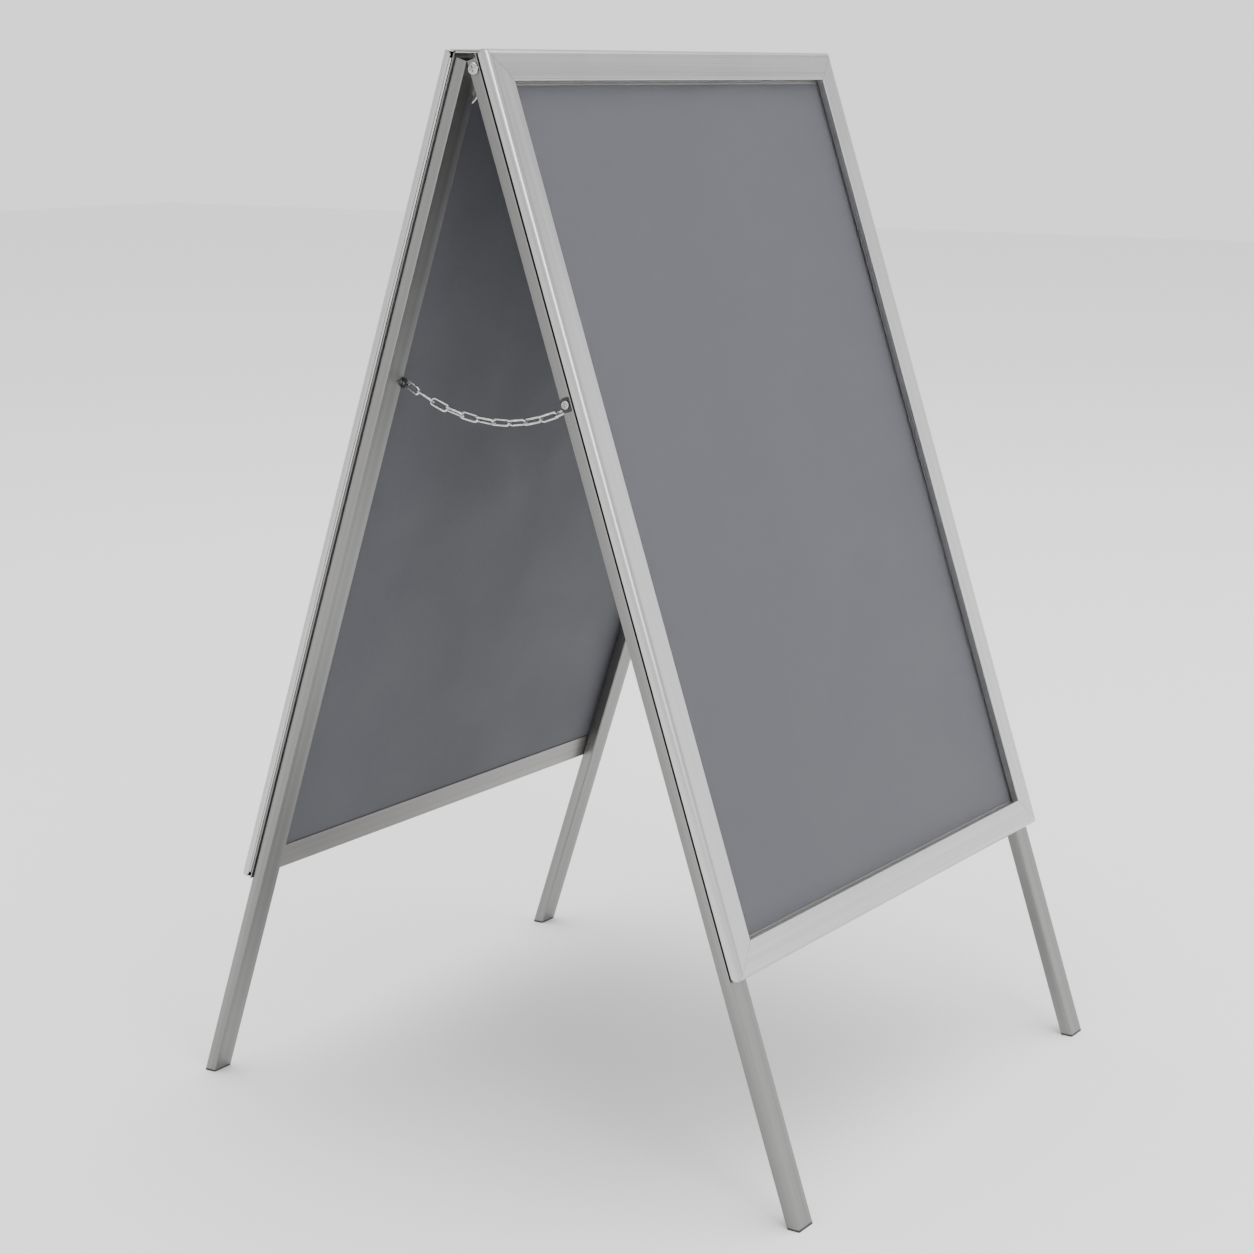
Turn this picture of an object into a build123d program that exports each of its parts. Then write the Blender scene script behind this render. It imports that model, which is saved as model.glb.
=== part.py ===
"""A-frame pavement sign: two snap frames on tube legs, joined at the top by pivot bolts and held by two chains.

Row frame: origin on the ground under the middle, +X along the hinge line, +Z up, front leaf towards -Y.
Leaf frame: origin on the hinge line at the legs' inner faces, x along the width, y up the leaf and z out
towards the display side. The two leaves are the same leaf, turned half a turn about the vertical.
"""
import os
from math import asin, cos, hypot, radians, sin

from build123d import *

os.makedirs("parts", exist_ok=True)

# ---- driving dimensions, mm and degrees ----
TILT = 18.5              # each leaf's lean from the vertical
LEG_LENGTH = 1115.0      # along the inner face, hinge line to ground
FRAME_WIDTH = 638.0      # outside, for an A1 sheet in 32 mm profile
FRAME_HEIGHT = 885.0
FRAME_RISE = 5.0         # how far the frame stands above the legs' top ends
LEAF_GAP = 0.2           # half of the clearance between the two leaves at the hinge line

LEG_WIDTH = 26.0
LEG_DEPTH = 13.0
LEG_WALL = 1.3
LEG_CORNER = 1.5
LEG_BORE_CORNER = 0.3
LEG_INSET = 3.5          # leg's outer side behind the frame's outer edge
CAP_THICKNESS = 2.2
CAP_PLUG = 16.0
CAP_CLEARANCE = 0.15

PROFILE = 32.0           # width of the snap cover
COVER_WALL = 1.4
COVER_FACE = 27.0        # height of the cover's front face over the legs' inner face
COVER_SKIRT = 16.9       # lower edge of the rolled outer side
COVER_ROLL = 7.0         # radius of the rolled outer edge
COVER_LIP = 19.5         # lower edge of the inner lip
COVER_FILLET = 0.8       # where the face turns down into the lip
COVER_CORNER = 3.0       # rounding of the frame's outer corners
MITRE_GAP = 0.18         # each cover and base profile stops this far short of the mitre
HOOK_SETBACK = 7.0       # hook and bead stop short of the mitres, so that one cover opens alone
COVER_TRAVEL = 90.0

PIVOT_U = 3.4            # snap pivot, from the frame's outer edge
PIVOT_N = 17.8
BEAD_RADIUS = 1.2
HOOK_INNER = 1.5
HOOK_OUTER = 2.5
HOOK_ANGLES = (60.0, 240.0)

BASE_WALL = 1.0
BASE_EDGE = 1.0
BASE_REAR_LIP = 28.5
BASE_RIB = 8.0           # upright that carries the bead's arm
RIB_WALL = 1.2
ARM_HALF = 0.45
GROOVE_FACE = 27.0       # the back panel's groove starts here
FLANGE_EDGE = 34.0       # front flange, seen as a thin strip inside the cover
FLANGE_TOP = 18.6

PANEL_EDGE = 27.4
PANEL_REAR = 14.1
PANEL_FRONT = 17.5
FILM_EDGE = 23.0
FILM_REAR = 18.7
FILM_THICKNESS = 0.5

RIVET_U = 16.5           # rivets stand on the middle of each leg
RIVET_PITCH = 240.0
RIVET_START = 70.0
RIVET_SHANK = 2.0
RIVET_HEAD = 3.6
RIVET_HEAD_HEIGHT = 1.6
HOLE_CLEARANCE = 0.1

SPRING_FEET = (11.0, 24.5)
SPRING_RISE = 3.0
SPRING_THICKNESS = 0.6
SPRING_WIDTH = 14.0

KEY_WIDTH = 9.0
KEY_INSET = 12.0
KEY_ARM = 48.0
KEY_THICKNESS = 2.0

PIVOT_S = 9.0            # pivot bolt, down the front leg from its top end
PIVOT_BOLT = 2.95
PIVOT_BORE = 3.03
PIVOT_HEAD = 5.8
PIVOT_HEAD_HEIGHT = 3.4
EAR_RADIUS = 6.0
BRACKET_THICKNESS = 2.5
BRACKET_LENGTH = 38.0
WASHER_THICKNESS = 0.8
WASHER_STACK = 1.0       # leg side face to bracket

CHAIN_S_FRONT = 327.0
CHAIN_S_REAR = 320.0
CHAIN_LINKS = 12
LINK_PITCH = 18.75
LINK_WIRE = 2.0
LINK_RADIUS = 3.3        # centre line of the link's round ends
LINK_PLAY = 0.2
LINK_ROLLS = (0, 62, -36, 50, -42, 46, -45, 44, -46, 40, -58, 0)
CHAIN_INSET = 3.9        # chain's plane, inboard of the legs' inner side faces
CHAIN_BOLT = 2.0
CHAIN_BOLT_HEAD = 4.2
PAD_SIZE = (14.0, 12.0)
PAD_THICKNESS = 1.2
TAB_THICKNESS = 1.5
TAB_PIN_N = -1.0
TAB_LOBE = 3.6
TAB_PIN = 1.75
TAB_PIN_HEAD = 3.2
TAB_PIN_HEAD_HEIGHT = 1.8

# ---- derived places ----
tilt = radians(TILT)
apex_height = LEG_LENGTH * cos(tilt)
half_width = FRAME_WIDTH / 2
leg_outer = half_width - LEG_INSET
leg_inner = leg_outer - LEG_WIDTH
leg_middle = leg_outer - LEG_WIDTH / 2
frame_top = FRAME_RISE
frame_bottom = FRAME_RISE - FRAME_HEIGHT
frame_middle = (frame_top + frame_bottom) / 2
long_leg = LEG_LENGTH + 60.0
chain_x = leg_inner - CHAIN_INSET
link_half = LINK_PITCH / 2 + (LINK_WIRE + LINK_PLAY) / 2
rear_reach = link_half - LINK_WIRE / 2 - LINK_PLAY - TAB_PIN
front_reach = link_half - LINK_WIRE / 2 - LINK_PLAY - CHAIN_BOLT
bracket_outer = leg_inner - WASHER_STACK
bracket_inner = bracket_outer - BRACKET_THICKNESS

LEAVES = {
    "front": Plane((0, -LEAF_GAP, apex_height), x_dir=(1, 0, 0), z_dir=(0, -cos(tilt), sin(tilt))),
    "rear": Plane((0, LEAF_GAP, apex_height), x_dir=(-1, 0, 0), z_dir=(0, cos(tilt), sin(tilt))),
}
SIDES = {
    "bottom": (FRAME_WIDTH, Location((0, frame_bottom, 0), (0, 0, 0))),
    "right": (FRAME_HEIGHT, Location((half_width, frame_middle, 0), (0, 0, 90))),
    "top": (FRAME_WIDTH, Location((0, frame_top, 0), (0, 0, 180))),
    "left": (FRAME_HEIGHT, Location((-half_width, frame_middle, 0), (0, 0, -90))),
}
AXIS_X = (0, 90, 0)      # turns a Z axis to +X
AXIS_MINUS_X = (0, -90, 0)


def save(piece, label):
    """Label a finished piece and write it."""
    piece.label = label
    export_step(piece, f"parts/{label}.step")


def save_on_leaf(piece, leaf, label):
    """Write a piece that was drawn in the leaf frame."""
    save(LEAVES[leaf].location * piece, label)


def ground_y(height, n):
    """Leaf-frame y of the level plane at a height over the ground, where it crosses n."""
    return (height - apex_height - n * sin(tilt)) / cos(tilt)


def ground_plane(height):
    """The level plane at a height over the ground, in the leaf frame, facing up."""
    return Plane((0, ground_y(height, 0), 0), z_dir=(0, cos(tilt), sin(tilt)))


def front_point_on_rear(down, n):
    """A point of the front leaf (down the leg, out from its inner face) as y, z of the rear leaf's frame."""
    row_y = -LEAF_GAP - (down * sin(tilt) + n * cos(tilt))
    drop = -down * cos(tilt) + n * sin(tilt)
    reach = row_y - LEAF_GAP
    return (-(reach * sin(tilt) - drop * cos(tilt)), reach * cos(tilt) + drop * sin(tilt))


def row_point(leaf, down, n):
    """A point of a leaf as y, z of the row frame."""
    way = -1 if leaf == "front" else 1
    return (way * (LEAF_GAP + down * sin(tilt) + n * cos(tilt)), apex_height - down * cos(tilt) + n * sin(tilt))


def make_rivet(grip):
    """A blind rivet on the Z axis: dome above z=0, shank down through the grip, formed tail below."""
    dome = (RIVET_HEAD**2 + RIVET_HEAD_HEIGHT**2) / (2 * RIVET_HEAD_HEIGHT)
    half_turn = asin(RIVET_HEAD / dome) / 2
    dome_middle = (dome * sin(half_turn), RIVET_HEAD_HEIGHT - dome + dome * cos(half_turn))
    with BuildPart() as rivet:
        with BuildSketch(Plane.XZ):
            with BuildLine():
                Polyline(
                    (0, RIVET_HEAD_HEIGHT), (0, -grip - 2.2), (RIVET_SHANK + 0.7, -grip - 1.8),
                    (RIVET_SHANK + 0.7, -grip - 0.1), (RIVET_SHANK, -grip - 0.1), (RIVET_SHANK, 0), (RIVET_HEAD, 0),
                )
                ThreePointArc((RIVET_HEAD, 0), dome_middle, (0, RIVET_HEAD_HEIGHT))
            make_face()
        revolve(axis=Axis.Z)
    return rivet.part


def make_screw(shank, length, head, head_height):
    """A pan-head screw on the Z axis: head above z=0 with a cross recess, shank down."""
    with BuildPart() as screw:
        Cylinder(head, head_height, align=(Align.CENTER, Align.CENTER, Align.MIN))
        fillet(screw.edges().filter_by(GeomType.CIRCLE).sort_by(Axis.Z)[-1], head_height * 0.55)
        Cylinder(shank, length, align=(Align.CENTER, Align.CENTER, Align.MAX))
        with Locations((0, 0, head_height)):
            Box(head * 1.1, head * 0.2, head_height * 0.7, mode=Mode.SUBTRACT)
            Box(head * 0.2, head * 1.1, head_height * 0.7, mode=Mode.SUBTRACT)
    return screw.part


def make_nut(bore, across, height):
    """A lock nut on the Z axis from z=0 up: hexagon with a round collar."""
    with BuildPart() as nut:
        with BuildSketch():
            RegularPolygon(across / 2, 6, major_radius=False)
        extrude(amount=height * 0.7)
        Cylinder(across * 0.46, height, align=(Align.CENTER, Align.CENTER, Align.MIN))
        Cylinder(bore, 3 * height, mode=Mode.SUBTRACT)
    return nut.part


def rivet_downs():
    """Places down the leg of the rivets that hold the frame."""
    return [RIVET_START + i * RIVET_PITCH for i in range(4)]


def mitre(length):
    """Cut the part in the current builder at 45 degrees at both ends of its length."""
    split(bisect_by=Plane((length / 2 - MITRE_GAP, 0, 0), z_dir=(-1, -1, 0)), keep=Keep.TOP)
    split(bisect_by=Plane((MITRE_GAP - length / 2, 0, 0), z_dir=(1, -1, 0)), keep=Keep.TOP)


def relieve_skirt(length):
    """Cut the skirt's corners back at 45 degrees, so that two neighbouring covers can both stand open."""
    swing_n = PIVOT_U + PIVOT_N
    split(bisect_by=Plane((length / 2 - MITRE_GAP, 0, swing_n), z_dir=(-1, 0, 1)), keep=Keep.TOP)
    split(bisect_by=Plane((MITRE_GAP - length / 2, 0, swing_n), z_dir=(1, 0, 1)), keep=Keep.TOP)


def round_tips(length):
    """Round the member's outer tips, where the frame's corners are."""
    with BuildSketch(Plane.XY.offset(COVER_SKIRT - 1)) as tips:
        for way in (-1, 1):
            with Locations((way * (length - COVER_CORNER) / 2, COVER_CORNER / 2)):
                Rectangle(COVER_CORNER, COVER_CORNER)
            with Locations((way * (length / 2 - COVER_CORNER), COVER_CORNER)):
                Circle(COVER_CORNER, mode=Mode.SUBTRACT)
    extrude(tips.sketch, amount=COVER_FACE, mode=Mode.SUBTRACT)


# ---- legs ----
def make_leg(leaf, side):
    """A tube leg with its square-cut top end at the hinge line and its foot cut level."""
    middle = side * leg_middle
    with BuildPart() as leg:
        with BuildSketch(Plane.XZ):
            with Locations((middle, LEG_DEPTH / 2)):
                RectangleRounded(LEG_WIDTH, LEG_DEPTH, LEG_CORNER)
                RectangleRounded(LEG_WIDTH - 2 * LEG_WALL, LEG_DEPTH - 2 * LEG_WALL, LEG_BORE_CORNER, mode=Mode.SUBTRACT)
        extrude(amount=long_leg)
        split(bisect_by=ground_plane(CAP_THICKNESS), keep=Keep.TOP)
        with Locations([(middle, -down, LEG_DEPTH) for down in rivet_downs()]):
            Cylinder(RIVET_SHANK + HOLE_CLEARANCE, 2 * LEG_WALL + 0.4, mode=Mode.SUBTRACT)
        if leaf == "front":
            with Locations(Location((middle, -PIVOT_S, LEG_DEPTH / 2), AXIS_X)):
                Cylinder(PIVOT_BORE, 2 * LEG_WIDTH, mode=Mode.SUBTRACT)
            with Locations(Location((middle, -CHAIN_S_FRONT, LEG_DEPTH / 2), AXIS_X)):
                Cylinder(CHAIN_BOLT + HOLE_CLEARANCE, 2 * LEG_WIDTH, mode=Mode.SUBTRACT)
        else:
            for down in (*BRACKET_RIVETS, CHAIN_S_REAR):
                with Locations(Location((side * leg_inner, -down, LEG_DEPTH / 2), AXIS_X)):
                    Cylinder(RIVET_SHANK + HOLE_CLEARANCE, 4 * LEG_WALL, mode=Mode.SUBTRACT)
    return leg.part


BRACKET_RIVETS = (19.0, 33.0)


def make_foot_caps():
    """Two push-in caps: a sole as thick as the leg's stand-off and a plug inside the tube."""
    inside = LEG_WALL + CAP_CLEARANCE
    with BuildPart() as caps:
        with BuildSketch(Plane.XZ):
            with Locations((-leg_middle, LEG_DEPTH / 2), (leg_middle, LEG_DEPTH / 2)):
                RectangleRounded(LEG_WIDTH, LEG_DEPTH, LEG_CORNER)
        extrude(amount=long_leg)
        split(bisect_by=ground_plane(CAP_THICKNESS), keep=Keep.BOTTOM)
        split(bisect_by=ground_plane(0), keep=Keep.TOP)
        for side in (-1, 1):
            with BuildSketch(Plane.YZ.offset(side * leg_middle)):
                with BuildLine():
                    Polyline(
                        (ground_y(CAP_THICKNESS / 2, inside), inside),
                        (ground_y(CAP_THICKNESS / 2, LEG_DEPTH - inside), LEG_DEPTH - inside),
                        (ground_y(CAP_PLUG, inside), LEG_DEPTH - inside), (ground_y(CAP_PLUG, inside), inside),
                        close=True,
                    )
                make_face()
            extrude(amount=LEG_WIDTH / 2 - inside, both=True)
    return caps.part


# ---- snap frame, each member drawn along X with u = y inwards from the outer edge ----
def make_base(side):
    """A mitred base profile: back wall, bead rib, and the groove and front flange that hold the panel."""
    length, place = SIDES[side]
    along_leg = side in ("left", "right")
    with BuildPart() as base:
        with BuildSketch(Plane.YZ):
            with BuildLine():
                Polyline(
                    (BASE_EDGE, LEG_DEPTH), (BASE_REAR_LIP, LEG_DEPTH), (BASE_REAR_LIP, LEG_DEPTH + BASE_WALL),
                    (GROOVE_FACE, LEG_DEPTH + BASE_WALL), (GROOVE_FACE, FLANGE_TOP - BASE_WALL),
                    (FLANGE_EDGE, FLANGE_TOP - BASE_WALL), (FLANGE_EDGE, FLANGE_TOP),
                    (GROOVE_FACE - RIB_WALL, FLANGE_TOP), (GROOVE_FACE - RIB_WALL, LEG_DEPTH + BASE_WALL),
                    (BASE_RIB + RIB_WALL, LEG_DEPTH + BASE_WALL), (BASE_RIB + RIB_WALL, PIVOT_N + ARM_HALF),
                    (BASE_RIB, PIVOT_N + ARM_HALF), (BASE_RIB, LEG_DEPTH + BASE_WALL),
                    (BASE_EDGE, LEG_DEPTH + BASE_WALL), close=True,
                )
            make_face()
        extrude(amount=length / 2, both=True)
        mitre(length)
        with BuildSketch(Plane.YZ):
            with Locations(((PIVOT_U + BASE_RIB) / 2, PIVOT_N)):
                Rectangle(BASE_RIB - PIVOT_U + 0.4, 2 * ARM_HALF)
            with Locations((PIVOT_U, PIVOT_N)):
                Circle(BEAD_RADIUS)
        extrude(amount=length / 2 - HOOK_SETBACK, both=True)
        if along_leg:
            with Locations([place.inverse() * Location((rivet_x(side), -down, LEG_DEPTH)) for down in rivet_downs()]):
                Cylinder(RIVET_SHANK + HOLE_CLEARANCE, 3 * BASE_WALL, mode=Mode.SUBTRACT)
    return place * base.part


def rivet_x(side):
    """Leaf-frame x of the rivets of the left or right member."""
    return leg_middle if side == "right" else -leg_middle


def make_cover(side):
    """A mitred snap cover: rolled outer edge, flat face, turned-down lip and the hook round the bead."""
    length, place = SIDES[side]
    roll_inner = COVER_ROLL - COVER_WALL
    roll_n = COVER_FACE - COVER_ROLL
    with BuildPart() as cover:
        with BuildSketch(Plane.YZ):
            with BuildLine():
                Line((0, COVER_SKIRT), (0, roll_n))
                RadiusArc((0, roll_n), (COVER_ROLL, COVER_FACE), COVER_ROLL)
                Polyline(
                    (COVER_ROLL, COVER_FACE), (PROFILE, COVER_FACE), (PROFILE, COVER_LIP),
                    (PROFILE - COVER_WALL, COVER_LIP), (PROFILE - COVER_WALL, COVER_FACE - COVER_WALL),
                    (COVER_ROLL, COVER_FACE - COVER_WALL),
                )
                RadiusArc((COVER_ROLL, COVER_FACE - COVER_WALL), (COVER_WALL, roll_n), -roll_inner)
                Polyline((COVER_WALL, roll_n), (COVER_WALL, COVER_SKIRT), (0, COVER_SKIRT))
            make_face()
        extrude(amount=length / 2, both=True)
        mitre(length)
        relieve_skirt(length)
        round_tips(length)
        with BuildSketch(Plane.YZ):
            with Locations((PIVOT_U, PIVOT_N)):
                Circle(HOOK_OUTER)
                Circle(HOOK_INNER, mode=Mode.SUBTRACT)
            open_angle = (HOOK_ANGLES[1] + 360 + HOOK_ANGLES[0]) / 2
            far = 4 * HOOK_OUTER
            with Locations(Location((PIVOT_U, PIVOT_N, 0), (0, 0, open_angle))):
                with Locations((far / 2, 0)):
                    Rectangle(far, far, mode=Mode.SUBTRACT)
        extrude(amount=length / 2 - HOOK_SETBACK, both=True)
        fillet(cover_edges(cover), COVER_FILLET)
    return place * cover.part


def cover_edges(cover):
    """The two long edges of the cover's lip, where the face turns down."""
    long_edges = cover.edges().filter_by(Axis.X)
    return [
        edge for edge in long_edges
        if abs(edge.center().Y - PROFILE) < 0.01 and abs(edge.center().Z - COVER_FACE) < 0.01
    ]


def make_corner_keys():
    """Four L-shaped keys that lie in the base channel and tie the mitres together."""
    with BuildPart() as keys:
        outer_x = half_width - KEY_INSET
        for way_x in (-1, 1):
            for way_y in (-1, 1):
                corner_x = way_x * outer_x
                corner_y = frame_middle + way_y * (FRAME_HEIGHT / 2 - KEY_INSET)
                with BuildSketch(Plane.XY.offset(PANEL_REAR)):
                    with BuildLine():
                        Polyline(
                            (corner_x, corner_y), (corner_x - way_x * KEY_ARM, corner_y),
                            (corner_x - way_x * KEY_ARM, corner_y - way_y * KEY_WIDTH),
                            (corner_x - way_x * KEY_WIDTH, corner_y - way_y * KEY_WIDTH),
                            (corner_x - way_x * KEY_WIDTH, corner_y - way_y * KEY_ARM),
                            (corner_x, corner_y - way_y * KEY_ARM), close=True,
                        )
                    make_face()
                extrude(amount=KEY_THICKNESS)
    return keys.part


def make_snap_springs():
    """Bowed leaf springs in the base channel, two on each short member and three on each long one."""
    first, last = SPRING_FEET
    middle = (first + last) / 2
    foot_n = LEG_DEPTH + BASE_WALL + 0.1
    with BuildPart() as spring:
        with BuildSketch(Plane.YZ):
            with BuildLine():
                ThreePointArc((first, foot_n), (middle, foot_n + SPRING_RISE), (last, foot_n))
                Line((last, foot_n), (last - SPRING_THICKNESS, foot_n))
                ThreePointArc(
                    (last - SPRING_THICKNESS, foot_n), (middle, foot_n + SPRING_RISE - SPRING_THICKNESS),
                    (first + SPRING_THICKNESS, foot_n),
                )
                Line((first + SPRING_THICKNESS, foot_n), (first, foot_n))
            make_face()
        extrude(amount=SPRING_WIDTH / 2, both=True)
    with BuildPart() as springs:
        for side, (length, place) in SIDES.items():
            count = 3 if side in ("left", "right") else 2
            for i in range(count):
                along = (i + 0.5) * length / count - length / 2
                with Locations(place * Location((along + 25.0, 0, 0))):
                    add(spring.part)
    return springs.part


def make_sheet(edge, rear, thickness):
    """A flat sheet whose edges lie a distance inside the frame's outer edge."""
    with BuildPart() as sheet:
        with BuildSketch(Plane.XY.offset(rear)):
            with Locations((0, frame_middle)):
                RectangleRounded(FRAME_WIDTH - 2 * edge, FRAME_HEIGHT - 2 * edge, 1.0)
        extrude(amount=thickness)
    return sheet.part


def make_rivets(leaf):
    """The rivets of one leaf: frame to legs, and on the rear leaf also brackets and chain tabs to legs."""
    frame_rivet = make_rivet(BASE_WALL + LEG_WALL)
    bracket_rivet = make_rivet(BRACKET_THICKNESS + WASHER_STACK + LEG_WALL)
    tab_rivet = make_rivet(TAB_THICKNESS + LEG_WALL)
    head_n = LEG_DEPTH + BASE_WALL
    with BuildPart() as rivets:
        with Locations([(side * leg_middle, -down, head_n) for side in (-1, 1) for down in rivet_downs()]):
            add(frame_rivet)
        if leaf == "rear":
            for side, turn in ((-1, AXIS_X), (1, AXIS_MINUS_X)):
                with Locations([
                    Location((side * bracket_inner, -down, LEG_DEPTH / 2), turn) for down in BRACKET_RIVETS
                ]):
                    add(bracket_rivet)
                with Locations(Location((side * (leg_inner - TAB_THICKNESS), -CHAIN_S_REAR, LEG_DEPTH / 2), turn)):
                    add(tab_rivet)
    return rivets.part


# ---- hinge ----
def make_brackets():
    """Two hinge plates on the rear legs, each with an ear round the pivot bolt of the front leg."""
    pivot_y, pivot_n = front_point_on_rear(PIVOT_S, LEG_DEPTH / 2)
    plate_y = -BRACKET_LENGTH / 2 - 4.0
    pad_y = -(BRACKET_RIVETS[0] + BRACKET_RIVETS[1]) / 2
    with BuildPart() as brackets:
        for side in (-1, 1):
            with BuildSketch(Plane.YZ.offset(side * (bracket_inner + bracket_outer) / 2)):
                with Locations((pivot_y, pivot_n)):
                    Circle(EAR_RADIUS)
                with Locations((plate_y, LEG_DEPTH / 2)):
                    RectangleRounded(BRACKET_LENGTH, LEG_DEPTH - 2, 4)
                make_hull()
                with Locations((pivot_y, pivot_n)):
                    Circle(PIVOT_BORE, mode=Mode.SUBTRACT)
            extrude(amount=BRACKET_THICKNESS / 2, both=True)
            with BuildSketch(Plane.YZ.offset(side * (bracket_outer + leg_inner) / 2)):
                with Locations((pad_y, LEG_DEPTH / 2)):
                    RectangleRounded(26, LEG_DEPTH - 3, 3)
            extrude(amount=WASHER_STACK / 2, both=True)
            for down in BRACKET_RIVETS:
                with Locations(Location((side * leg_inner, -down, LEG_DEPTH / 2), AXIS_X)):
                    Cylinder(RIVET_SHANK + HOLE_CLEARANCE, 6 * BRACKET_THICKNESS, mode=Mode.SUBTRACT)
    return brackets.part


def on_both_sides(piece, x, down, n):
    """The same piece at both ends of a cross axis, drawn on Z with its outer end up."""
    with BuildPart() as pair:
        with Locations(Location((x, -down, n), AXIS_X), Location((-x, -down, n), AXIS_MINUS_X)):
            add(piece)
    return pair.part


def make_ring(outer, inner, thickness):
    """A plain washer or sleeve from z=0 up."""
    with BuildPart() as ring:
        Cylinder(outer, thickness, align=(Align.CENTER, Align.CENTER, Align.MIN))
        Cylinder(inner, 3 * thickness, mode=Mode.SUBTRACT)
    return ring.part


def make_pad():
    """Rounded plastic pad under the head of a chain bolt, from z=0 up."""
    with BuildPart() as pad:
        with BuildSketch():
            RectangleRounded(PAD_SIZE[1], PAD_SIZE[0], 4)
            Circle(CHAIN_BOLT + HOLE_CLEARANCE, mode=Mode.SUBTRACT)
        extrude(amount=PAD_THICKNESS)
        fillet(pad.edges().group_by(Axis.Z)[-1].filter_by(GeomType.CIRCLE, reverse=True), 0.5)
    return pad.part


def make_tabs():
    """Two plates on the rear legs' inner sides that carry the chains' rear pins."""
    with BuildPart() as tabs:
        for side in (-1, 1):
            with BuildSketch(Plane.YZ.offset(side * (leg_inner - TAB_THICKNESS / 2))):
                with Locations((-CHAIN_S_REAR, (LEG_DEPTH - 1.0 + TAB_PIN_N - TAB_LOBE) / 2)):
                    RectangleRounded(10.0, LEG_DEPTH - 1.0 - TAB_PIN_N + TAB_LOBE, 4.0)
                with Locations((-CHAIN_S_REAR, TAB_PIN_N)):
                    Circle(TAB_PIN + HOLE_CLEARANCE, mode=Mode.SUBTRACT)
                with Locations((-CHAIN_S_REAR, LEG_DEPTH / 2)):
                    Circle(RIVET_SHANK + HOLE_CLEARANCE, mode=Mode.SUBTRACT)
            extrude(amount=TAB_THICKNESS / 2, both=True)
    return tabs.part


# ---- chain ----
def hang(start, end, reaches):
    """Joints of a hanging chain of links: the slope grows by the same step from link to link."""
    way = 1 if end[0] > start[0] else -1

    def joints(first, step):
        points = [start]
        for i, reach in enumerate(reaches):
            slope = first + step * i
            run = reach / hypot(1, slope)
            points.append((points[-1][0] + way * run, points[-1][1] + slope * run))
        return points

    def miss(first, step):
        y, z = joints(first, step)[-1]
        return (y - end[0], z - end[1])

    first, step, small = -0.5, 1.0 / CHAIN_LINKS, 1e-6
    for _ in range(40):
        at = miss(first, step)
        by_first = [(a - b) / small for a, b in zip(miss(first + small, step), at)]
        by_step = [(a - b) / small for a, b in zip(miss(first, step + small), at)]
        scale = by_first[0] * by_step[1] - by_first[1] * by_step[0]
        first -= (at[0] * by_step[1] - at[1] * by_step[0]) / scale
        step -= (by_first[0] * at[1] - by_first[1] * at[0]) / scale
    assert hypot(*miss(first, step)) < 0.001
    return joints(first, step)


def make_link():
    """One link: round wire bent to a long oval, along X and flat in XY."""
    half = link_half
    straight = half - LINK_RADIUS
    with BuildPart() as link:
        with BuildLine() as loop:
            Line((-straight, -LINK_RADIUS), (straight, -LINK_RADIUS))
            ThreePointArc((straight, -LINK_RADIUS), (half, 0), (straight, LINK_RADIUS))
            Line((straight, LINK_RADIUS), (-straight, LINK_RADIUS))
            ThreePointArc((-straight, LINK_RADIUS), (-half, 0), (-straight, -LINK_RADIUS))
        with BuildSketch(Plane((-straight, -LINK_RADIUS, 0), z_dir=(1, 0, 0))):
            Circle(LINK_WIRE / 2)
        sweep(path=loop.wire())
    return link.part


def make_chain(x):
    """A chain from the rear pin to the front bolt, as separate links, each rolled against its neighbours."""
    link = make_link()
    rear = row_point("rear", CHAIN_S_REAR, TAB_PIN_N)
    front = row_point("front", CHAIN_S_FRONT, LEG_DEPTH / 2)
    half_pitch = LINK_PITCH / 2
    reaches = [rear_reach + half_pitch, *[LINK_PITCH] * (CHAIN_LINKS - 2), half_pitch + front_reach]
    befores = [rear_reach] + [half_pitch] * (CHAIN_LINKS - 1)
    points = hang(rear, front, reaches)
    with BuildPart() as chain:
        for start, end, reach, before, roll in zip(points, points[1:], reaches, befores, LINK_ROLLS):
            along = Vector(0, end[0] - start[0], end[1] - start[1])
            middle = Vector(x, start[0], start[1]) + along * (before / reach)
            flat = Plane(middle, x_dir=along, z_dir=(1, 0, 0))
            with Locations(flat.location * Location((0, 0, 0), (roll, 0, 0))):
                add(link)
    return chain.part


# ---- build and write every piece ----
for leaf in LEAVES:
    for side, name in ((-1, "left"), (1, "right")):
        save_on_leaf(make_leg(leaf, side), leaf, f"{leaf}_{name}_leg")
    save_on_leaf(make_foot_caps(), leaf, f"{leaf}_foot_caps")
    for side in SIDES:
        save_on_leaf(make_base(side), leaf, f"{leaf}_base_{side}")
        save_on_leaf(make_cover(side), leaf, f"{leaf}_cover_{side}")
    save_on_leaf(make_corner_keys(), leaf, f"{leaf}_corner_keys")
    save_on_leaf(make_snap_springs(), leaf, f"{leaf}_snap_springs")
    save_on_leaf(make_sheet(PANEL_EDGE, PANEL_REAR, PANEL_FRONT - PANEL_REAR), leaf, f"{leaf}_back_panel")
    save_on_leaf(make_sheet(FILM_EDGE, FILM_REAR, FILM_THICKNESS), leaf, f"{leaf}_clear_sheet")
    save_on_leaf(make_rivets(leaf), leaf, f"{leaf}_rivets")

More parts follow.
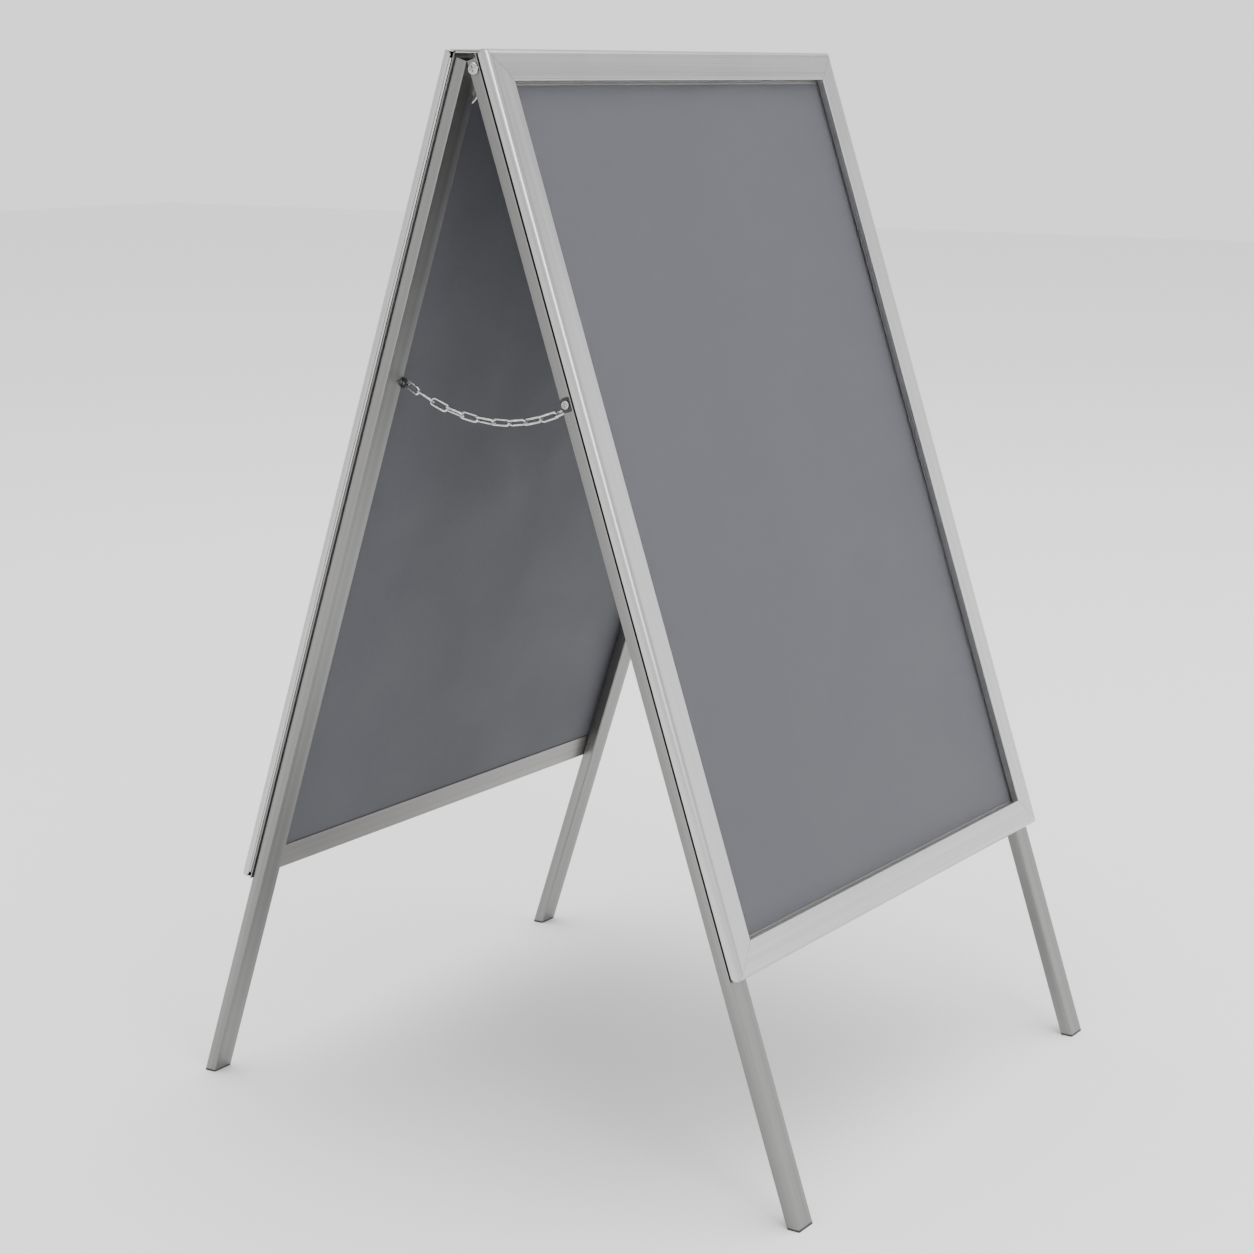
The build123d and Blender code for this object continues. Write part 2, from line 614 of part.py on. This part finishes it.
save_on_leaf(make_brackets(), "rear", "hinge_brackets")
pivot_screw = make_screw(PIVOT_BOLT, leg_outer - bracket_inner + 7.0, PIVOT_HEAD, PIVOT_HEAD_HEIGHT)
save_on_leaf(on_both_sides(pivot_screw, leg_outer, PIVOT_S, LEG_DEPTH / 2), "front", "hinge_bolts")
pivot_washer = make_ring(EAR_RADIUS - 0.2, PIVOT_BORE, WASHER_THICKNESS)
washer_x = leg_inner - WASHER_THICKNESS
save_on_leaf(on_both_sides(pivot_washer, washer_x, PIVOT_S, LEG_DEPTH / 2), "front", "hinge_washers")
pivot_nut_height = 5.5
pivot_nut = make_nut(PIVOT_BOLT + 0.02, 10.0, pivot_nut_height)
pivot_nut_x = bracket_inner - 0.3
with BuildPart() as hinge_nuts:
    with Locations(
        Location((pivot_nut_x, -PIVOT_S, LEG_DEPTH / 2), AXIS_MINUS_X),
        Location((-pivot_nut_x, -PIVOT_S, LEG_DEPTH / 2), AXIS_X),
    ):
        add(pivot_nut)
save_on_leaf(hinge_nuts.part, "front", "hinge_nuts")

chain_nut_height = 4.0
chain_nut_x = chain_x - LINK_WIRE / 2 - 0.4
chain_screw = make_screw(CHAIN_BOLT, leg_outer + PAD_THICKNESS - chain_nut_x + 4.6, CHAIN_BOLT_HEAD, 2.3)
save_on_leaf(
    on_both_sides(chain_screw, leg_outer + PAD_THICKNESS, CHAIN_S_FRONT, LEG_DEPTH / 2), "front", "chain_bolts"
)
save_on_leaf(on_both_sides(make_pad(), leg_outer, CHAIN_S_FRONT, LEG_DEPTH / 2), "front", "chain_pads")
spacer_length = leg_inner - chain_x - LINK_WIRE / 2 - 0.3
chain_spacer = make_ring(4.6, CHAIN_BOLT + 0.05, spacer_length)
spacer_x = leg_inner - spacer_length
save_on_leaf(on_both_sides(chain_spacer, spacer_x, CHAIN_S_FRONT, LEG_DEPTH / 2), "front", "chain_spacers")
chain_nut = make_nut(CHAIN_BOLT + 0.02, 8.0, chain_nut_height)
with BuildPart() as chain_nuts:
    with Locations(
        Location((chain_nut_x, -CHAIN_S_FRONT, LEG_DEPTH / 2), AXIS_MINUS_X),
        Location((-chain_nut_x, -CHAIN_S_FRONT, LEG_DEPTH / 2), AXIS_X),
    ):
        add(chain_nut)
save_on_leaf(chain_nuts.part, "front", "chain_nuts")

save_on_leaf(make_tabs(), "rear", "chain_tabs")
with BuildPart() as tab_pin:
    Cylinder(TAB_PIN, leg_inner - chain_nut_x - 0.1, align=(Align.CENTER, Align.CENTER, Align.MIN))
    Cylinder(TAB_PIN_HEAD, TAB_PIN_HEAD_HEIGHT, align=(Align.CENTER, Align.CENTER, Align.MAX))
    fillet(tab_pin.edges().filter_by(GeomType.CIRCLE).sort_by(Axis.Z)[0], TAB_PIN_HEAD_HEIGHT / 2)
save_on_leaf(on_both_sides(tab_pin.part, chain_nut_x, CHAIN_S_REAR, TAB_PIN_N), "rear", "chain_tab_pins")

save(make_chain(-chain_x), "left_chain")
save(make_chain(chain_x), "right_chain")
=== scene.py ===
"""Looks, floor, light and camera for an A-frame pavement sign with two A1 snap frames."""
import math

import bmesh
import bpy
from mathutils import Matrix, Vector


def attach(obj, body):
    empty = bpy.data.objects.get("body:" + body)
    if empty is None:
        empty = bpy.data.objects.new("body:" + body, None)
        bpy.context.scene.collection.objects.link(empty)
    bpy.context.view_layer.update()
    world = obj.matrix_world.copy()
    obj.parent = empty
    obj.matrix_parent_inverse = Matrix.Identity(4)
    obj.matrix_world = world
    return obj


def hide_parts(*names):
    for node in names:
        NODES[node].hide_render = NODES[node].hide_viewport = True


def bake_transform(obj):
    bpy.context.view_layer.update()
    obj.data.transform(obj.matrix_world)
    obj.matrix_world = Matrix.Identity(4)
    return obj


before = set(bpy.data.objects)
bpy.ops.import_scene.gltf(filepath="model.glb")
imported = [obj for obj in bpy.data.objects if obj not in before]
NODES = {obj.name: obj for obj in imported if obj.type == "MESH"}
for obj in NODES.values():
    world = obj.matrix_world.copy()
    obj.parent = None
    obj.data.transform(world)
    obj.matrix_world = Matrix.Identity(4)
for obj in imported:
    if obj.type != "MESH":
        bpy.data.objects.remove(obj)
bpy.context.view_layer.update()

TILT = math.radians(18.5)        # each leaf's lean from the vertical
LEAF_SIGN = {"front": 1.0, "rear": -1.0}


# ---------------------------------------------------------------- materials
class Shader:
    """A Principled material with short ways to add nodes."""

    def __init__(self, name):
        self.material = bpy.data.materials.new(name)
        self.material.use_nodes = True
        self.tree = self.material.node_tree
        self.bsdf = self.tree.nodes["Principled BSDF"]
        self.coordinates = self.node("ShaderNodeTexCoord").outputs["Object"]

    def node(self, kind, **values):
        made = self.tree.nodes.new(kind)
        for key, value in values.items():
            setattr(made, key, value)
        return made

    def link(self, source, target):
        self.tree.links.new(source, target)

    def set(self, **values):
        """Plain values on the shader's own sockets; underscores stand for spaces."""
        for key, value in values.items():
            self.bsdf.inputs[key.replace("_", " ")].default_value = value

    def leaf(self, leaf):
        """Turns the coordinates so that Z runs up that leaf and Y through it."""
        turned = self.node("ShaderNodeMapping")
        turned.inputs["Rotation"].default_value = (LEAF_SIGN[leaf] * TILT, 0, 0)
        self.link(self.coordinates, turned.inputs["Vector"])
        self.coordinates = turned.outputs["Vector"]

    def noise(self, scale, detail=4.0, stretch=(1, 1, 1), roughness=0.55, distortion=0.0):
        """The value of a noise texture, stretched along the coordinates' axes."""
        mapping = self.node("ShaderNodeMapping")
        mapping.inputs["Scale"].default_value = stretch
        self.link(self.coordinates, mapping.inputs["Vector"])
        noise = self.node("ShaderNodeTexNoise")
        noise.inputs["Scale"].default_value = scale
        noise.inputs["Detail"].default_value = detail
        noise.inputs["Roughness"].default_value = roughness
        noise.inputs["Distortion"].default_value = distortion
        self.link(mapping.outputs["Vector"], noise.inputs["Vector"])
        return noise.outputs["Fac"]

    def ramp(self, value, stops):
        """A colour ramp through (position, grey or colour) stops."""
        ramp = self.node("ShaderNodeValToRGB")
        elements = ramp.color_ramp.elements
        while len(elements) < len(stops):
            elements.new(0.5)
        for element, (position, colour) in zip(elements, stops):
            element.position = position
            rgb = colour if isinstance(colour, tuple) else (colour,) * 3
            element.color = (*rgb, 1)
        self.link(value, ramp.inputs["Fac"])
        return ramp.outputs["Color"]

    def mix(self, factor, first, second, blend="MIX"):
        """Mixes two colours; each input is a socket, a number or a colour."""
        mix = self.node("ShaderNodeMix", data_type="RGBA", blend_type=blend)
        sockets = (mix.inputs[0], mix.inputs[6], mix.inputs[7])     # the factor and the two colours
        for socket, value in zip(sockets, (factor, first, second)):
            if hasattr(value, "node"):
                self.link(value, socket)
            elif socket.type == "RGBA":
                rgb = value if isinstance(value, tuple) else (value,) * 3
                socket.default_value = (*rgb, 1)
            else:
                socket.default_value = value
        return mix.outputs[2]

    def height(self):
        """The height along the leaf as a value."""
        split = self.node("ShaderNodeSeparateXYZ")
        self.link(self.coordinates, split.inputs["Vector"])
        return split.outputs["Z"]

    def spread(self, value, low, high):
        """The value scaled from low..high to 0..1, clamped."""
        mapped = self.node("ShaderNodeMapRange")
        mapped.inputs["From Min"].default_value = low
        mapped.inputs["From Max"].default_value = high
        self.link(value, mapped.inputs["Value"])
        return mapped.outputs["Result"]

    def bump(self, heights):
        """Stacks bumps given as (value, strength, distance) on the shader's normal."""
        normal = None
        for value, strength, distance in heights:
            bump = self.node("ShaderNodeBump")
            bump.inputs["Strength"].default_value = strength
            bump.inputs["Distance"].default_value = distance
            self.link(value, bump.inputs["Height"])
            if normal is not None:
                self.link(normal, bump.inputs["Normal"])
            normal = bump.outputs["Normal"]
        self.link(normal, self.bsdf.inputs["Normal"])

    def colour(self, socket):
        self.link(socket, self.bsdf.inputs["Base Color"])

    def roughness(self, socket):
        self.link(socket, self.bsdf.inputs["Roughness"])


def scaled(tone, by):
    return tuple(by * channel for channel in tone)


def anodised(name, leaf, along, tone, gloss, streak=1.0):
    """Extruded aluminium: fine draw lines along the profile, cloudy anodising, small scuffs."""
    shader = Shader(name)
    shader.leaf(leaf)
    fine, coarse = (1.5, 420, 420), (0.6, 90, 90)
    if along == "up":
        fine, coarse = (420, 420, 1.5), (90, 90, 0.6)
    lines = shader.noise(1.0, 3.0, fine, 0.6)
    bands = shader.noise(1.0, 2.0, coarse)
    clouds = shader.noise(5.0, 5.0)
    scuffs = shader.noise(70.0, 8.0, (1, 1, 1), 0.75, 1.2)
    dark, light = tone
    base = shader.mix(shader.spread(lines, 0.32, 0.68), dark, light)
    banded = shader.ramp(bands, [(0.36, scaled(dark, 0.86)), (0.64, light)])
    base = shader.mix(0.35 * streak, base, banded)
    base = shader.mix(0.25, base, shader.ramp(clouds, [(0.35, dark), (0.65, light)]))
    worn = shader.ramp(scuffs, [(0.66, 0.0), (0.74, 0.14)])
    base = shader.mix(worn, base, scaled(light, 1.25))
    shader.colour(base)
    low, high = gloss
    rough = shader.ramp(lines, [(0.3, low), (0.7, high)])
    rough = shader.mix(0.3, rough, shader.ramp(clouds, [(0.35, low), (0.65, high)]))
    shader.roughness(rough)
    shader.set(Metallic=1.0)
    shader.bump([(lines, 0.12 * streak, 0.0004), (scuffs, 0.06, 0.0003)])
    return shader.material


def panel(name, leaf, low_tone, high_tone, mottle):
    """Matte sheet plastic with faint mottling and fine grain, its tone turning slowly with height."""
    shader = Shader(name)
    shader.leaf(leaf)
    rise = shader.spread(shader.height(), 0.10, 1.05)
    base = shader.mix(rise, low_tone, high_tone)
    cloud = shader.noise(9.0, 6.0, (1, 1, 1), 0.6, 0.4)
    fine = shader.noise(160.0, 5.0, (1, 1, 1), 0.65)
    mottled = shader.ramp(cloud, [(0.35, scaled(low_tone, 0.78)), (0.66, low_tone)])
    base = shader.mix(mottle, base, mottled)
    base = shader.mix(0.10, base, shader.ramp(fine, [(0.3, 0.02), (0.7, 0.5)]), "SOFT_LIGHT")
    shader.colour(base)
    shader.roughness(shader.ramp(cloud, [(0.3, 0.52), (0.7, 0.66)]))
    shader.set(Specular_IOR_Level=0.35)
    shader.bump([(fine, 0.03, 0.0004)])
    return shader.material


def clear_sheet(name, leaf):
    """Anti-glare poster sheet: a thin haze with fine grain and a few wipe marks."""
    shader = Shader(name)
    shader.leaf(leaf)
    grain = shader.noise(420.0, 3.0)
    wipes = shader.noise(3.0, 6.0, (1.0, 1.0, 0.35), 0.7, 1.5)
    shader.colour(shader.ramp(wipes, [(0.35, (0.20, 0.205, 0.215)), (0.7, (0.27, 0.277, 0.29))]))
    haze = shader.ramp(wipes, [(0.35, 0.015), (0.7, 0.03)])
    shader.link(haze, shader.bsdf.inputs["Alpha"])
    shader.roughness(shader.ramp(grain, [(0.3, 0.36), (0.7, 0.50)]))
    shader.bump([(grain, 0.05, 0.0002)])
    return shader.material


def moulded(name, tone=0.012):
    """Black moulded plastic with fine grain and rubbed, dusty high spots."""
    shader = Shader(name)
    grain = shader.noise(900.0, 4.0)
    dust = shader.noise(60.0, 7.0, (1, 1, 1), 0.7, 0.6)
    base = shader.ramp(dust, [(0.4, tone), (0.62, 2.4 * tone), (0.8, 6 * tone)])
    shader.colour(base)
    shader.roughness(shader.ramp(grain, [(0.3, 0.42), (0.7, 0.62)]))
    shader.bump([(grain, 0.25, 0.0002)])
    return shader.material


def plated(name, dark, light, gloss, spangle=220.0):
    """Zinc-plated or bright steel: cloudy spangle and tiny pits."""
    shader = Shader(name)
    cells = shader.node("ShaderNodeTexVoronoi")
    cells.inputs["Scale"].default_value = spangle
    shader.link(shader.coordinates, cells.inputs["Vector"])
    cloud = shader.noise(140.0, 6.0, (1, 1, 1), 0.7)
    pits = shader.noise(1500.0, 4.0)
    base = shader.ramp(cloud, [(0.3, dark), (0.7, light)])
    base = shader.mix(0.35, base, cells.outputs["Color"], "SOFT_LIGHT")
    hue = shader.node("ShaderNodeHueSaturation")
    hue.inputs["Saturation"].default_value = 0.12
    shader.link(base, hue.inputs["Color"])
    shader.colour(hue.outputs["Color"])
    shader.roughness(shader.ramp(cloud, [(0.3, gloss[0]), (0.7, gloss[1])]))
    shader.set(Metallic=1.0)
    shader.bump([(pits, 0.12, 0.0001), (cloud, 0.10, 0.0003)])
    return shader.material


# Each tone is a dark and a light colour, and each gloss a low and a high roughness.
COVER_TONE = ((0.44, 0.44, 0.44), (0.58, 0.58, 0.58))
COVER_GLOSS = (0.24, 0.35)
LEG_TONE = ((0.19, 0.189, 0.185), (0.275, 0.273, 0.268))
BASE_TONE = ((0.22, 0.216, 0.209), (0.31, 0.305, 0.297))
FRAME_GLOSS = (0.30, 0.42)
LEG_STREAK = 1.6
PANEL_LOW = (0.079, 0.080, 0.092)
PANEL_HIGH = (0.077, 0.079, 0.094)
PANEL_MOTTLE = 0.22

black = moulded("black_plastic")
zinc = plated("zinc_plate", (0.42, 0.42, 0.41), (0.60, 0.60, 0.59), (0.30, 0.48))
spring_steel = plated("spring_steel", (0.22, 0.22, 0.23), (0.36, 0.36, 0.37), (0.25, 0.40))
rivet_metal = plated("rivet_metal", (0.50, 0.50, 0.50), (0.66, 0.66, 0.66), (0.28, 0.42))
bright = plated("bright_steel", (0.24, 0.24, 0.24), (0.52, 0.52, 0.52), (0.10, 0.22))
chain_metal = plated("chain_zinc", (0.44, 0.44, 0.43), (0.74, 0.74, 0.73), (0.10, 0.20), 400.0)

OWN = {}
for leaf in LEAF_SIGN:
    for along in ("across", "up"):
        for kind, tone, gloss in (("cover", COVER_TONE, COVER_GLOSS), ("base", BASE_TONE, FRAME_GLOSS)):
            OWN[leaf, kind, along] = anodised(f"{leaf}_{kind}_{along}", leaf, along, tone, gloss)
    OWN[leaf, "leg"] = anodised(f"{leaf}_leg_metal", leaf, "up", LEG_TONE, FRAME_GLOSS, LEG_STREAK)
    OWN[leaf, "panel"] = panel(f"{leaf}_panel_grey", leaf, PANEL_LOW, PANEL_HIGH, PANEL_MOTTLE)
    OWN[leaf, "sheet"] = clear_sheet(f"{leaf}_sheet_clear", leaf)


def finish_for(name):
    """The material of a CAD node."""
    leaf = name.split("_")[0]
    along = "across" if name.endswith(("top", "bottom")) else "up"
    if "_cover_" in name:
        return OWN[leaf, "cover", along]
    if "_base_" in name:
        return OWN[leaf, "base", along]
    if name.endswith("_leg"):
        return OWN[leaf, "leg"]
    if name.endswith("back_panel"):
        return OWN[leaf, "panel"]
    if name.endswith("clear_sheet"):
        return OWN[leaf, "sheet"]
    if name.endswith(("foot_caps", "washers", "pads", "spacers", "tabs")):
        return black
    if name.endswith(("brackets", "keys")):
        return zinc
    if name.endswith("springs"):
        return spring_steel
    if name.endswith("rivets"):
        return rivet_metal
    if name.endswith("chain"):
        return chain_metal
    return bright


for name, node in NODES.items():
    node.data.materials.clear()
    node.data.materials.append(finish_for(name))
    for polygon in node.data.polygons:
        polygon.material_index = 0


# ---------------------------------------------------------------- chains
UPWARD_OR_RIGHT = Vector((1, 0, 2))     # picks a link's upper side, or a flat link's right side


def islands(mesh):
    """The mesh's separate closed parts, as lists of their vertices' places."""
    welded = bmesh.new()
    welded.from_mesh(mesh)
    bmesh.ops.remove_doubles(welded, verts=welded.verts, dist=1e-6)
    left = set(welded.verts)
    parts = []
    for seed in welded.verts:
        if seed not in left:
            continue
        left.remove(seed)
        part, front = [seed], [seed]
        while front:
            for edge in front.pop().link_edges:
                for other in edge.verts:
                    if other in left:
                        left.remove(other)
                        part.append(other)
                        front.append(other)
        parts.append([vert.co.copy() for vert in part])
    welded.free()
    return parts


def long_axis(points, centre):
    """The direction, towards the rear, in which the points reach furthest from their centre."""
    far = max(points, key=lambda p: (p - centre).length_squared)
    along = (far - centre).normalized()
    return along if along.y > 0 else -along


BEND_STEPS = 12         # points round a link's end, along a straight side and around its wire
STRAIGHT_STEPS = 8
WIRE_STEPS = 14
WELD_RISE = 0.16        # how much thicker the weld is than the wire
WELD_REACH = 0.9        # the weld's half length, in wire diameters


def racetrack(straight, radius):
    """The closed line of a link's wire: two straight sides joined by two half rounds."""
    path = []
    for sign, start in ((1, -math.pi / 2), (-1, math.pi / 2)):
        for i in range(STRAIGHT_STEPS):
            path.append((sign * (-straight + 2 * straight * i / STRAIGHT_STEPS), -sign * radius))
        for i in range(BEND_STEPS):
            angle = start + math.pi * i / BEND_STEPS
            path.append((sign * straight + radius * math.cos(angle), radius * math.sin(angle)))
    return path


def wire_link(name, half, radius, wire, place):
    """A chain link: bent round wire with a weld bead in the middle of one side."""
    path = racetrack(half - radius, radius)
    count = len(path)
    vertices, faces = [], []
    for i, (x, y) in enumerate(path):
        before, after = path[i - 1], path[(i + 1) % count]
        tangent = Vector((after[0] - before[0], after[1] - before[1], 0)).normalized()
        side = Vector((tangent.y, -tangent.x, 0))
        weld = math.exp(-((x / (WELD_REACH * wire)) ** 2)) if y > 0 else 0.0
        thick = wire / 2 * (1 + WELD_RISE * weld)
        for k in range(WIRE_STEPS):
            turn = 2 * math.pi * k / WIRE_STEPS
            ray = side * math.cos(turn) + Vector((0, 0, math.sin(turn)))
            vertices.append(place @ (Vector((x, y, 0)) + thick * ray))
    for i in range(count):
        for k in range(WIRE_STEPS):
            here, ahead = i * WIRE_STEPS, (i + 1) % count * WIRE_STEPS
            m = (k + 1) % WIRE_STEPS
            faces.append((here + k, ahead + k, ahead + m, here + m))
    mesh = bpy.data.meshes.new(name)
    mesh.from_pydata(vertices, [], faces)
    mesh.update()
    for polygon in mesh.polygons:
        polygon.use_smooth = True
    fixed = bmesh.new()
    fixed.from_mesh(mesh)
    bmesh.ops.recalc_face_normals(fixed, faces=fixed.faces)
    fixed.to_mesh(mesh)
    fixed.free()
    link = bpy.data.objects.new(name, mesh)
    bpy.context.scene.collection.objects.link(link)
    mesh.materials.append(chain_metal)
    return link


def link_like(name, part, centre):
    """A wire link of the size and in the place of a CAD link, given as its vertices' places."""
    along = long_axis(part, centre)
    offsets = [p - centre for p in part]
    side = max((d - d.dot(along) * along for d in offsets), key=lambda d: d.length)
    side = (side - side.dot(along) * along).normalized()
    if side.dot(UPWARD_OR_RIGHT) < 0:
        side = -side
    normal = along.cross(side).normalized()
    half_length, half_width, half_wire = (
        max(d.dot(axis) for d in offsets) for axis in (along, side, normal))
    place = Matrix((along, side, normal)).transposed().to_4x4()
    place.translation = centre
    return wire_link(name, half_length - half_wire, half_width - half_wire, 2 * half_wire, place)


for chain in ("left_chain", "right_chain"):
    parts = sorted(islands(NODES[chain].data), key=lambda part: sum(p.y for p in part) / len(part))
    centres = [sum(part, Vector()) / len(part) for part in parts]
    for i, (part, centre) in enumerate(zip(parts, centres)):
        link = link_like(f"{chain}_link_{i + 1:02d}", part, centre)
        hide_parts(chain)
        if i == 0:
            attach(link, "front_leaf")
        elif i == len(parts) - 1:
            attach(link, "rear_leaf")
        else:
            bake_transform(link)


# ---------------------------------------------------------------- floor, light, camera
FLOOR_HALF = 14.0
WORLD_STRENGTH = 1.7
WORLD_GREYS = [(0.0, 0.84), (0.08, 0.84), (0.26, 0.60), (0.60, 0.55), (0.85, 1.0)]     # (height, grey)
LENS = 75.32
CAMERA_PLACE = (-2.2791, -1.4828, 1.0461)
YAW, PITCH = math.radians(-56.37), math.radians(-11.90)


def floor():
    """A pale floor, a little whiter far from the sign."""
    mesh = bpy.data.meshes.new("floor")
    signs = ((-1, -1), (1, -1), (1, 1), (-1, 1))
    mesh.from_pydata([(x * FLOOR_HALF, y * FLOOR_HALF, 0) for x, y in signs], [], [(0, 1, 2, 3)])
    ground = bpy.data.objects.new("floor", mesh)
    bpy.context.scene.collection.objects.link(ground)
    shader = Shader("pale_floor")
    reach = shader.node("ShaderNodeVectorMath", operation="LENGTH")
    shader.link(shader.coordinates, reach.inputs[0])
    outward = shader.spread(reach.outputs["Value"], 1.0, 9.0)
    shader.colour(shader.ramp(outward, [(0.0, 0.90), (1.0, 0.99)]))
    shader.roughness(shader.ramp(shader.noise(6.0, 3.0), [(0.3, 0.75), (0.7, 0.85)]))
    shader.set(Specular_IOR_Level=0.1)
    mesh.materials.append(shader.material)


def studio_world():
    """White at the horizon and overhead, greyer between, for the metal to reflect."""
    world = bpy.data.worlds.new("studio")
    world.use_nodes = True
    tree = world.node_tree
    background = tree.nodes["Background"]
    background.inputs["Strength"].default_value = WORLD_STRENGTH
    direction = tree.nodes.new("ShaderNodeTexCoord")
    split = tree.nodes.new("ShaderNodeSeparateXYZ")
    ramp = tree.nodes.new("ShaderNodeValToRGB")
    while len(ramp.color_ramp.elements) < len(WORLD_GREYS):
        ramp.color_ramp.elements.new(0.5)
    for element, (position, grey) in zip(ramp.color_ramp.elements, WORLD_GREYS):
        element.position = position
        element.color = (grey, grey, grey, 1)
    tree.links.new(direction.outputs["Generated"], split.inputs["Vector"])
    tree.links.new(split.outputs["Z"], ramp.inputs["Fac"])
    tree.links.new(ramp.outputs["Color"], background.inputs["Color"])
    bpy.context.scene.world = world


def soft_box(name, place, aim, size, power):
    """A rectangular lamp at a place, turned to face its aim."""
    light = bpy.data.lights.new(name, "AREA")
    light.shape = "RECTANGLE"
    light.size, light.size_y = size
    light.energy = power
    box = bpy.data.objects.new(name, light)
    box.location = place
    box.rotation_euler = (Vector(aim) - Vector(place)).to_track_quat("-Z", "Y").to_euler()
    bpy.context.scene.collection.objects.link(box)


def photograph_camera():
    data = bpy.data.cameras.new("camera")
    data.sensor_width = 36.0
    data.lens = LENS
    data.clip_end = 60.0
    camera = bpy.data.objects.new("camera", data)
    camera.location = CAMERA_PLACE
    level = math.cos(PITCH)
    forward = Vector((-math.sin(YAW) * level, math.cos(YAW) * level, math.sin(PITCH)))
    camera.rotation_euler = forward.to_track_quat("-Z", "Y").to_euler()
    bpy.context.scene.collection.objects.link(camera)
    bpy.context.scene.camera = camera


floor()
studio_world()
soft_box("overhead", (0.6, -0.6, 5.2), (0, 0, 0), (7.0, 7.0), 330)
soft_box("key", (-2.6, -4.2, 3.0), (0, 0, 0.5), (1.6, 2.4), 80)
soft_box("side", (4.4, -3.2, 1.3), (0, 0, 0.6), (2.4, 2.4), 12)
photograph_camera()
